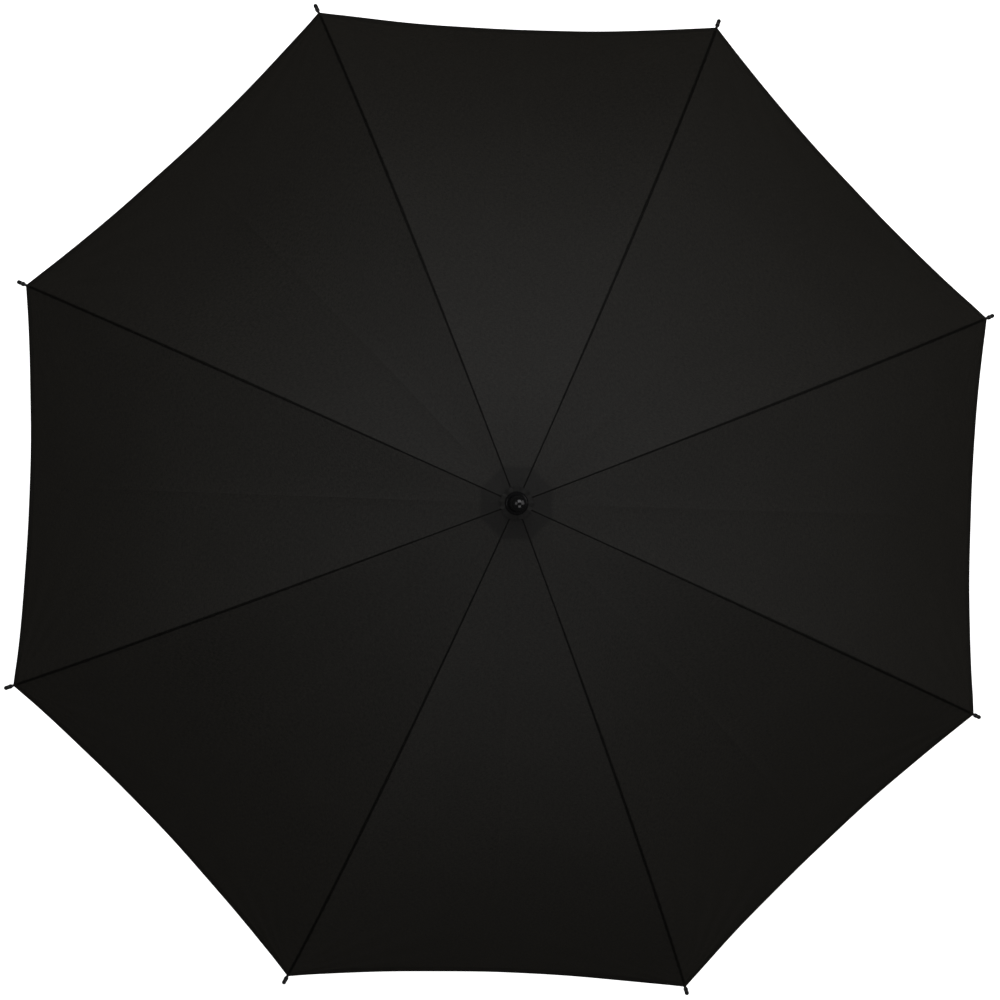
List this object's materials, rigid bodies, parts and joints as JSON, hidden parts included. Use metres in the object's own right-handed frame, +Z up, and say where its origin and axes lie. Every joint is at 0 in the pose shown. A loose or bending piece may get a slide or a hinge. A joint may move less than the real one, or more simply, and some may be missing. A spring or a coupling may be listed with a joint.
{
  "type": "golf umbrella",
  "caption": "Large open rain umbrella with a shallow domed cloth canopy, sprung ribs, sliding runner, steel shaft and straight foam handle; folds along its shaft.",
  "frame": {"origin": "middle of the handle grip, on the shaft's axis", "axes": "+Z up the shaft to the ferrule; +X and +Y run through the middles of two gores, and the two catches face +X"},
  "size_m": [1.2032, 1.2032, 1.006],
  "materials": {
    "canopy_cloth": "black plain-weave polyester, matt with a faint satin sheen",
    "shaft_steel": "drawn steel tube, satin",
    "bright_steel": "bright spring steel",
    "rib_fibreglass": "black fibreglass rod, semi-gloss",
    "black_plastic": "moulded black nylon, satin",
    "tip_plastic": "moulded black tip cap, semi-gloss",
    "ferrule_gloss": "gloss black moulding",
    "grip_foam": "closed-cell foam grip, matt, fine grain"
  },
  "bodies": {
    "frame": {"shaft": "shaft_steel", "crown": "black_plastic", "crown_wire": "bright_steel", "ferrule": "ferrule_gloss", "ferrule_washer": "canopy_cloth", "handle_grip": "grip_foam", "handle_end_cap": "black_plastic", "catch_pins": "shaft_steel"},
    "runner": {"runner": "black_plastic", "runner_wire": "bright_steel"},
    "top_catch": {"top_catch": "bright_steel"},
    "bottom_catch": {"bottom_catch": "bright_steel"},
    "rib_0": {"rib_0": "rib_fibreglass", "joint_clip_0": "black_plastic", "gore_0": "canopy_cloth"},
    "rib_outer_0": {"rib_outer_0": "rib_fibreglass", "rib_tip_0": "tip_plastic"},
    "stretcher_0": {"stretcher_0": "rib_fibreglass"},
    "rib_1": {"rib_1": "rib_fibreglass", "joint_clip_1": "black_plastic", "gore_1": "canopy_cloth"},
    "rib_outer_1": {"rib_outer_1": "rib_fibreglass", "rib_tip_1": "tip_plastic"},
    "stretcher_1": {"stretcher_1": "rib_fibreglass"},
    "rib_2": {"rib_2": "rib_fibreglass", "joint_clip_2": "black_plastic", "gore_2": "canopy_cloth"},
    "rib_outer_2": {"rib_outer_2": "rib_fibreglass", "rib_tip_2": "tip_plastic"},
    "stretcher_2": {"stretcher_2": "rib_fibreglass"},
    "rib_3": {"rib_3": "rib_fibreglass", "joint_clip_3": "black_plastic", "gore_3": "canopy_cloth"},
    "rib_outer_3": {"rib_outer_3": "rib_fibreglass", "rib_tip_3": "tip_plastic"},
    "stretcher_3": {"stretcher_3": "rib_fibreglass"},
    "rib_4": {"rib_4": "rib_fibreglass", "joint_clip_4": "black_plastic", "gore_4": "canopy_cloth"},
    "rib_outer_4": {"rib_outer_4": "rib_fibreglass", "rib_tip_4": "tip_plastic"},
    "stretcher_4": {"stretcher_4": "rib_fibreglass"},
    "rib_5": {"rib_5": "rib_fibreglass", "joint_clip_5": "black_plastic", "gore_5": "canopy_cloth"},
    "rib_outer_5": {"rib_outer_5": "rib_fibreglass", "rib_tip_5": "tip_plastic"},
    "stretcher_5": {"stretcher_5": "rib_fibreglass"},
    "rib_6": {"rib_6": "rib_fibreglass", "joint_clip_6": "black_plastic", "gore_6": "canopy_cloth"},
    "rib_outer_6": {"rib_outer_6": "rib_fibreglass", "rib_tip_6": "tip_plastic"},
    "stretcher_6": {"stretcher_6": "rib_fibreglass"},
    "rib_7": {"rib_7": "rib_fibreglass", "joint_clip_7": "black_plastic", "gore_7": "canopy_cloth"},
    "rib_outer_7": {"rib_outer_7": "rib_fibreglass", "rib_tip_7": "tip_plastic"},
    "stretcher_7": {"stretcher_7": "rib_fibreglass"}
  },
  "joints": [
    {"name": "runner_slide", "type": "slide", "parent": "frame", "child": "runner", "axis": [0, 0, -1], "range_m": [0, 0.49061], "deforming": ["gore_0", "gore_1", "gore_2", "gore_3", "gore_4", "gore_5", "gore_6", "gore_7"]},
    {"name": "rib_hinge_0", "type": "hinge", "parent": "frame", "child": "rib_0", "pos_m": [0.01293, 0.00536, 0.845], "axis": [-0.3827, 0.9239, 0], "range_deg": [0, 68.56]},
    {"name": "rib_bend_0", "type": "hinge", "parent": "rib_0", "child": "rib_outer_0", "pos_m": [0.32534, 0.13476, 0.74497], "axis": [0.3827, -0.9239, 0], "range_deg": [0, 17.5]},
    {"name": "stretcher_hinge_0", "type": "hinge", "parent": "rib_0", "child": "stretcher_0", "pos_m": [0.32274, 0.13368, 0.73967], "axis": [0.3827, -0.9239, 0], "range_deg": [0, 137.13]},
    {"name": "rib_hinge_1", "type": "hinge", "parent": "frame", "child": "rib_1", "pos_m": [0.00536, 0.01293, 0.845], "axis": [-0.9239, 0.3827, 0], "range_deg": [0, 68.56]},
    {"name": "rib_bend_1", "type": "hinge", "parent": "rib_1", "child": "rib_outer_1", "pos_m": [0.13476, 0.32534, 0.74497], "axis": [0.9239, -0.3827, 0], "range_deg": [0, 17.5]},
    {"name": "stretcher_hinge_1", "type": "hinge", "parent": "rib_1", "child": "stretcher_1", "pos_m": [0.13368, 0.32274, 0.73967], "axis": [0.9239, -0.3827, 0], "range_deg": [0, 137.13]},
    {"name": "rib_hinge_2", "type": "hinge", "parent": "frame", "child": "rib_2", "pos_m": [-0.00536, 0.01293, 0.845], "axis": [-0.9239, -0.3827, 0], "range_deg": [0, 68.56]},
    {"name": "rib_bend_2", "type": "hinge", "parent": "rib_2", "child": "rib_outer_2", "pos_m": [-0.13476, 0.32534, 0.74497], "axis": [0.9239, 0.3827, 0], "range_deg": [0, 17.5]},
    {"name": "stretcher_hinge_2", "type": "hinge", "parent": "rib_2", "child": "stretcher_2", "pos_m": [-0.13368, 0.32274, 0.73967], "axis": [0.9239, 0.3827, 0], "range_deg": [0, 137.13]},
    {"name": "rib_hinge_3", "type": "hinge", "parent": "frame", "child": "rib_3", "pos_m": [-0.01293, 0.00536, 0.845], "axis": [-0.3827, -0.9239, 0], "range_deg": [0, 68.56]},
    {"name": "rib_bend_3", "type": "hinge", "parent": "rib_3", "child": "rib_outer_3", "pos_m": [-0.32534, 0.13476, 0.74497], "axis": [0.3827, 0.9239, 0], "range_deg": [0, 17.5]},
    {"name": "stretcher_hinge_3", "type": "hinge", "parent": "rib_3", "child": "stretcher_3", "pos_m": [-0.32274, 0.13368, 0.73967], "axis": [0.3827, 0.9239, 0], "range_deg": [0, 137.13]},
    {"name": "rib_hinge_4", "type": "hinge", "parent": "frame", "child": "rib_4", "pos_m": [-0.01293, -0.00536, 0.845], "axis": [0.3827, -0.9239, 0], "range_deg": [0, 68.56]},
    {"name": "rib_bend_4", "type": "hinge", "parent": "rib_4", "child": "rib_outer_4", "pos_m": [-0.32534, -0.13476, 0.74497], "axis": [-0.3827, 0.9239, 0], "range_deg": [0, 17.5]},
    {"name": "stretcher_hinge_4", "type": "hinge", "parent": "rib_4", "child": "stretcher_4", "pos_m": [-0.32274, -0.13368, 0.73967], "axis": [-0.3827, 0.9239, 0], "range_deg": [0, 137.13]},
    {"name": "rib_hinge_5", "type": "hinge", "parent": "frame", "child": "rib_5", "pos_m": [-0.00536, -0.01293, 0.845], "axis": [0.9239, -0.3827, 0], "range_deg": [0, 68.56]},
    {"name": "rib_bend_5", "type": "hinge", "parent": "rib_5", "child": "rib_outer_5", "pos_m": [-0.13476, -0.32534, 0.74497], "axis": [-0.9239, 0.3827, 0], "range_deg": [0, 17.5]},
    {"name": "stretcher_hinge_5", "type": "hinge", "parent": "rib_5", "child": "stretcher_5", "pos_m": [-0.13368, -0.32274, 0.73967], "axis": [-0.9239, 0.3827, 0], "range_deg": [0, 137.13]},
    {"name": "rib_hinge_6", "type": "hinge", "parent": "frame", "child": "rib_6", "pos_m": [0.00536, -0.01293, 0.845], "axis": [0.9239, 0.3827, 0], "range_deg": [0, 68.56]},
    {"name": "rib_bend_6", "type": "hinge", "parent": "rib_6", "child": "rib_outer_6", "pos_m": [0.13476, -0.32534, 0.74497], "axis": [-0.9239, -0.3827, 0], "range_deg": [0, 17.5]},
    {"name": "stretcher_hinge_6", "type": "hinge", "parent": "rib_6", "child": "stretcher_6", "pos_m": [0.13368, -0.32274, 0.73967], "axis": [-0.9239, -0.3827, 0], "range_deg": [0, 137.13]},
    {"name": "rib_hinge_7", "type": "hinge", "parent": "frame", "child": "rib_7", "pos_m": [0.01293, -0.00536, 0.845], "axis": [0.3827, 0.9239, 0], "range_deg": [0, 68.56]},
    {"name": "rib_bend_7", "type": "hinge", "parent": "rib_7", "child": "rib_outer_7", "pos_m": [0.32534, -0.13476, 0.74497], "axis": [-0.3827, -0.9239, 0], "range_deg": [0, 17.5]},
    {"name": "stretcher_hinge_7", "type": "hinge", "parent": "rib_7", "child": "stretcher_7", "pos_m": [0.32274, -0.13368, 0.73967], "axis": [-0.3827, -0.9239, 0], "range_deg": [0, 137.13]},
    {"name": "top_catch_press", "type": "hinge", "parent": "frame", "child": "top_catch", "pos_m": [0, 0, 0.55175], "axis": [0, -1, 0], "range_deg": [0, 7], "stiffness_Nm_per_rad": 0.03},
    {"name": "bottom_catch_press", "type": "hinge", "parent": "frame", "child": "bottom_catch", "pos_m": [0, 0, 0.12574], "axis": [0, 1, 0], "range_deg": [0, 7], "stiffness_Nm_per_rad": 0.03}
  ],
  "couplings": [
    {"joint": "rib_hinge_0", "follows": "runner_slide", "rad_per_m": 2.4391},
    {"joint": "rib_bend_0", "follows": "runner_slide", "rad_per_m": 0.62256},
    {"joint": "stretcher_hinge_0", "follows": "runner_slide", "rad_per_m": 4.8782},
    {"joint": "rib_hinge_1", "follows": "runner_slide", "rad_per_m": 2.4391},
    {"joint": "rib_bend_1", "follows": "runner_slide", "rad_per_m": 0.62256},
    {"joint": "stretcher_hinge_1", "follows": "runner_slide", "rad_per_m": 4.8782},
    {"joint": "rib_hinge_2", "follows": "runner_slide", "rad_per_m": 2.4391},
    {"joint": "rib_bend_2", "follows": "runner_slide", "rad_per_m": 0.62256},
    {"joint": "stretcher_hinge_2", "follows": "runner_slide", "rad_per_m": 4.8782},
    {"joint": "rib_hinge_3", "follows": "runner_slide", "rad_per_m": 2.4391},
    {"joint": "rib_bend_3", "follows": "runner_slide", "rad_per_m": 0.62256},
    {"joint": "stretcher_hinge_3", "follows": "runner_slide", "rad_per_m": 4.8782},
    {"joint": "rib_hinge_4", "follows": "runner_slide", "rad_per_m": 2.4391},
    {"joint": "rib_bend_4", "follows": "runner_slide", "rad_per_m": 0.62256},
    {"joint": "stretcher_hinge_4", "follows": "runner_slide", "rad_per_m": 4.8782},
    {"joint": "rib_hinge_5", "follows": "runner_slide", "rad_per_m": 2.4391},
    {"joint": "rib_bend_5", "follows": "runner_slide", "rad_per_m": 0.62256},
    {"joint": "stretcher_hinge_5", "follows": "runner_slide", "rad_per_m": 4.8782},
    {"joint": "rib_hinge_6", "follows": "runner_slide", "rad_per_m": 2.4391},
    {"joint": "rib_bend_6", "follows": "runner_slide", "rad_per_m": 0.62256},
    {"joint": "stretcher_hinge_6", "follows": "runner_slide", "rad_per_m": 4.8782},
    {"joint": "rib_hinge_7", "follows": "runner_slide", "rad_per_m": 2.4391},
    {"joint": "rib_bend_7", "follows": "runner_slide", "rad_per_m": 0.62256},
    {"joint": "stretcher_hinge_7", "follows": "runner_slide", "rad_per_m": 4.8782}
  ]
}
